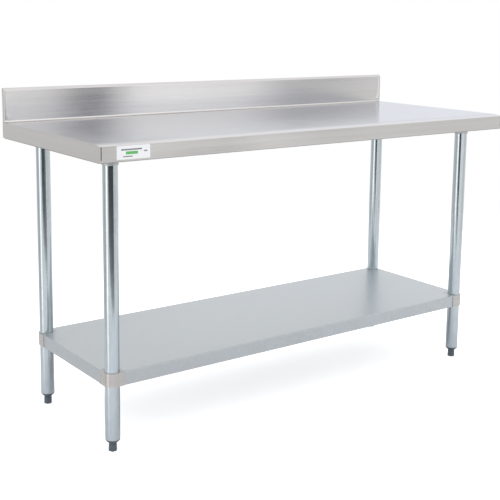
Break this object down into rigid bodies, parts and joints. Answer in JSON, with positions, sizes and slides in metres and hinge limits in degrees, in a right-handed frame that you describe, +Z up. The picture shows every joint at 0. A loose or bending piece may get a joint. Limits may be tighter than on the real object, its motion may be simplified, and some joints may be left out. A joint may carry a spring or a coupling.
{
  "type": "stainless work table",
  "caption": "Stainless kitchen work table with a raised rear splash, round tube legs, an adjustable undershelf and screw-in levelling feet.",
  "frame": {"origin": "on the floor, under the middle of the table", "axes": "+X along the table's length, +Y towards the rear splash, +Z up"},
  "size_m": [1.524, 0.6098, 0.9652],
  "materials": {
    "stainless": "brushed stainless steel",
    "galvanised": "galvanised sheet steel, semi-gloss",
    "galvanised_tube": "galvanised tube, glossy",
    "socket_casting": "die-cast, tumbled",
    "fastener_steel": "zinc plated",
    "foot_plastic": "moulded dark grey plastic",
    "label_film": "blank printed film"
  },
  "bodies": {
    "table": {"worktop": "stainless", "splash_end_cap_left": "stainless", "splash_end_cap_right": "stainless", "rear_strip": "stainless", "rear_apron": "stainless", "top_hat_channel": "galvanised", "cross_channel_left": "galvanised", "cross_channel_right": "galvanised", "front_label": "label_film", "socket_set_screws": "fastener_steel", "leg_socket_front_left": "socket_casting", "leg_tube_front_left": "galvanised_tube", "foot_insert_front_left": "foot_plastic", "leg_socket_front_right": "socket_casting", "leg_tube_front_right": "galvanised_tube", "foot_insert_front_right": "foot_plastic", "leg_socket_rear_right": "socket_casting", "leg_tube_rear_right": "galvanised_tube", "foot_insert_rear_right": "foot_plastic", "leg_socket_rear_left": "socket_casting", "leg_tube_rear_left": "galvanised_tube", "foot_insert_rear_left": "foot_plastic"},
    "shelf": {"shelf_pan": "galvanised", "shelf_hat_channel": "galvanised", "shelf_set_screws": "fastener_steel", "shelf_collar_front_left": "stainless", "shelf_saddle_front_left": "socket_casting", "shelf_collar_front_right": "stainless", "shelf_saddle_front_right": "socket_casting", "shelf_collar_rear_right": "stainless", "shelf_saddle_rear_right": "socket_casting", "shelf_collar_rear_left": "stainless", "shelf_saddle_rear_left": "socket_casting"},
    "stud_front_left": {"foot_stud_front_left": "fastener_steel"},
    "foot_front_left": {"hex_foot_front_left": "foot_plastic"},
    "stud_front_right": {"foot_stud_front_right": "fastener_steel"},
    "foot_front_right": {"hex_foot_front_right": "foot_plastic"},
    "stud_rear_right": {"foot_stud_rear_right": "fastener_steel"},
    "foot_rear_right": {"hex_foot_rear_right": "foot_plastic"},
    "stud_rear_left": {"foot_stud_rear_left": "fastener_steel"},
    "foot_rear_left": {"hex_foot_rear_left": "foot_plastic"}
  },
  "joints": [
    {"name": "shelf_height", "type": "slide", "parent": "table", "child": "shelf", "axis": [0, 0, 1], "range_m": [-0.12, 0.45]},
    {"name": "foot_travel_front_left", "type": "slide", "parent": "table", "child": "stud_front_left", "axis": [0, 0, -1], "range_m": [0, 0.0245]},
    {"name": "foot_turn_front_left", "type": "hinge", "parent": "stud_front_left", "child": "foot_front_left", "pos_m": [-0.678, -0.203, 0], "axis": [0, 0, -1], "range_deg": [0, 5040]},
    {"name": "foot_travel_front_right", "type": "slide", "parent": "table", "child": "stud_front_right", "axis": [0, 0, -1], "range_m": [0, 0.0245]},
    {"name": "foot_turn_front_right", "type": "hinge", "parent": "stud_front_right", "child": "foot_front_right", "pos_m": [0.678, -0.203, 0], "axis": [0, 0, -1], "range_deg": [0, 5040]},
    {"name": "foot_travel_rear_right", "type": "slide", "parent": "table", "child": "stud_rear_right", "axis": [0, 0, -1], "range_m": [0, 0.0245]},
    {"name": "foot_turn_rear_right", "type": "hinge", "parent": "stud_rear_right", "child": "foot_rear_right", "pos_m": [0.678, 0.21, 0], "axis": [0, 0, -1], "range_deg": [0, 5040]},
    {"name": "foot_travel_rear_left", "type": "slide", "parent": "table", "child": "stud_rear_left", "axis": [0, 0, -1], "range_m": [0, 0.0245]},
    {"name": "foot_turn_rear_left", "type": "hinge", "parent": "stud_rear_left", "child": "foot_rear_left", "pos_m": [-0.678, 0.21, 0], "axis": [0, 0, -1], "range_deg": [0, 5040]}
  ],
  "couplings": [
    {"joint": "foot_turn_front_left", "follows": "foot_travel_front_left", "rad_per_m": 3590.4},
    {"joint": "foot_turn_front_right", "follows": "foot_travel_front_right", "rad_per_m": 3590.4},
    {"joint": "foot_turn_rear_right", "follows": "foot_travel_rear_right", "rad_per_m": 3590.4},
    {"joint": "foot_turn_rear_left", "follows": "foot_travel_rear_left", "rad_per_m": 3590.4}
  ]
}
